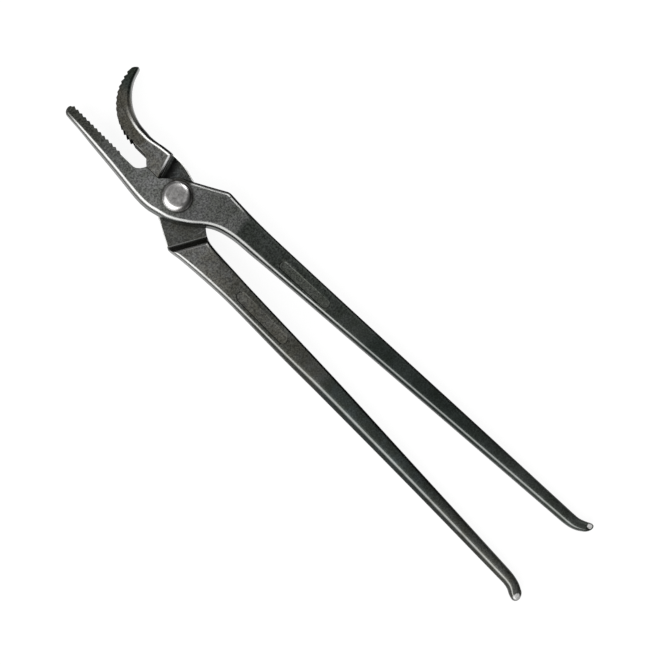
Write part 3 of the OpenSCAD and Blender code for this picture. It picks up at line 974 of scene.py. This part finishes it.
# The floor is a plain white sheet. The tool touches it with the lower end of
# its joint and with its handle ends, so the sheet lies at that small slope.
REST_REACH = 279
FLOOR_HALF = 3
FLOOR_DROP = 0.05
FLOOR_GLOW = 0.92
floor_slope = math.atan2(MID - END_HALF, REST_REACH + GROUND_BOTTOM)
floor_data = bpy.data.meshes.new("floor")
floor_corners = [
    (-FLOOR_HALF, -FLOOR_HALF, 0), (FLOOR_HALF, -FLOOR_HALF, 0),
    (FLOOR_HALF, FLOOR_HALF, 0), (-FLOOR_HALF, FLOOR_HALF, 0)]
floor_data.from_pydata(floor_corners, [], [(0, 1, 2, 3)])
floor = bpy.data.objects.new("floor", floor_data)
bpy.context.collection.objects.link(floor)
floor.rotation_euler = (-floor_slope, 0, 0)
floor.location = (0, GROUND_BOTTOM * MM, -FLOOR_DROP * MM)
sheet = bpy.data.materials.new("white sheet")
sheet.use_nodes = True
sheet.node_tree.nodes.clear()
paper = NodeBench(sheet.node_tree)
rays = paper.add("LightPath")
seen = paper.most(rays.outputs["Is Camera Ray"], rays.outputs["Is Glossy Ray"])
glow = paper.add("Emission")
paper.feed(glow.inputs["Strength"], paper.times(seen, FLOOR_GLOW))
matt = paper.add("BsdfDiffuse")
paper.feed(matt.inputs["Color"], (0.16, 0.16, 0.16))
both = paper.add("AddShader")
paper.feed(both.inputs[0], matt.outputs[0])
paper.feed(both.inputs[1], glow.outputs[0])
paper.feed(paper.add("OutputMaterial").inputs["Surface"], both.outputs[0])
floor_data.materials.append(sheet)


# The light is a dim room with one long soft panel along the left side and a
# shorter one at the upper right, which draw the bright lines along the edges.
# The camera itself sees plain white in place of the room.
def soft_light(name, place, target, width, length, radiance):
    """Rectangular soft light that faces a point; its long side follows the tool."""
    data = bpy.data.lights.new(name, "AREA")
    data.shape = "RECTANGLE"
    data.size = width
    data.size_y = length
    data.energy = radiance * math.pi * width * length
    light = bpy.data.objects.new(name, data)
    bpy.context.collection.objects.link(light)
    back = (Vector(place) - Vector(target)).normalized()
    along = Vector((0, 1, 0))
    along = (along - back * along.dot(back)).normalized()
    axes = Matrix((along.cross(back), along, back)).transposed().to_4x4()
    light.matrix_world = Matrix.Translation(place) @ axes


soft_light("left panel", (-1.1, -0.1, 1.02), (0, -0.1, 0), width=1.4, length=2.0, radiance=2.3)
soft_light("right panel", (0.95, 0.24, 1.0), (0, 0.1, 0), width=0.75, length=0.5, radiance=3.5)
world = bpy.data.worlds.new("room")
bpy.context.scene.world = world
world.use_nodes = True
world.node_tree.nodes.clear()
room = NodeBench(world.node_tree)
direction = room.add("TexCoord").outputs["Generated"]
upward = room.parts(direction)[2]
from_floor_up = room.fade(upward, 0.0, 1.0, soft=False)
dim = room.add("Background")
room.feed(dim.inputs["Color"], room.mixed(from_floor_up, (0.04, 0.04, 0.04), (0.5, 0.5, 0.5)))
dark_side = room.fade(room.facing(direction, (0.5, -0.86, 0)), 0.05, 0.45, 1, 0.12)
room.feed(dim.inputs["Strength"], dark_side)
white = room.add("Background")
room.feed(white.inputs["Color"], (1, 1, 1))
pick = room.add("MixShader")
room.feed(pick.inputs["Fac"], room.add("LightPath").outputs["Is Camera Ray"])
room.feed(pick.inputs[1], dim.outputs[0])
room.feed(pick.inputs[2], white.outputs[0])
room.feed(room.add("OutputWorld").inputs["Surface"], pick.outputs[0])


# The camera looks down on the tool from a metre away, a little to the left of
# it, and is turned so that the jaws point to the upper left.
CAMERA_LEAN = math.radians(5.5)
CAMERA_TURN = math.radians(44)
CAMERA_DISTANCE = 1
FRAME_WIDTH = 0.3532
SENSOR_WIDTH = 36
sight = Vector((math.sin(CAMERA_LEAN), 0, -math.cos(CAMERA_LEAN)))
tool_right = Vector((math.cos(CAMERA_LEAN), 0, math.sin(CAMERA_LEAN)))
tool_up = Vector((0, 1, 0))
image_right = tool_right * math.sin(CAMERA_TURN) - tool_up * math.cos(CAMERA_TURN)
image_up = tool_right * math.cos(CAMERA_TURN) + tool_up * math.sin(CAMERA_TURN)
aim = Vector((5.95, -108.6, MID)) * MM
camera_data = bpy.data.cameras.new("camera")
camera_data.sensor_width = SENSOR_WIDTH
camera_data.lens = SENSOR_WIDTH * CAMERA_DISTANCE / FRAME_WIDTH
camera = bpy.data.objects.new("camera", camera_data)
bpy.context.collection.objects.link(camera)
camera_axes = Matrix((image_right, image_up, -sight)).transposed().to_4x4()
camera.matrix_world = Matrix.Translation(aim - sight * CAMERA_DISTANCE) @ camera_axes
bpy.context.scene.camera = camera
bpy.context.scene.view_settings.view_transform = "Standard"
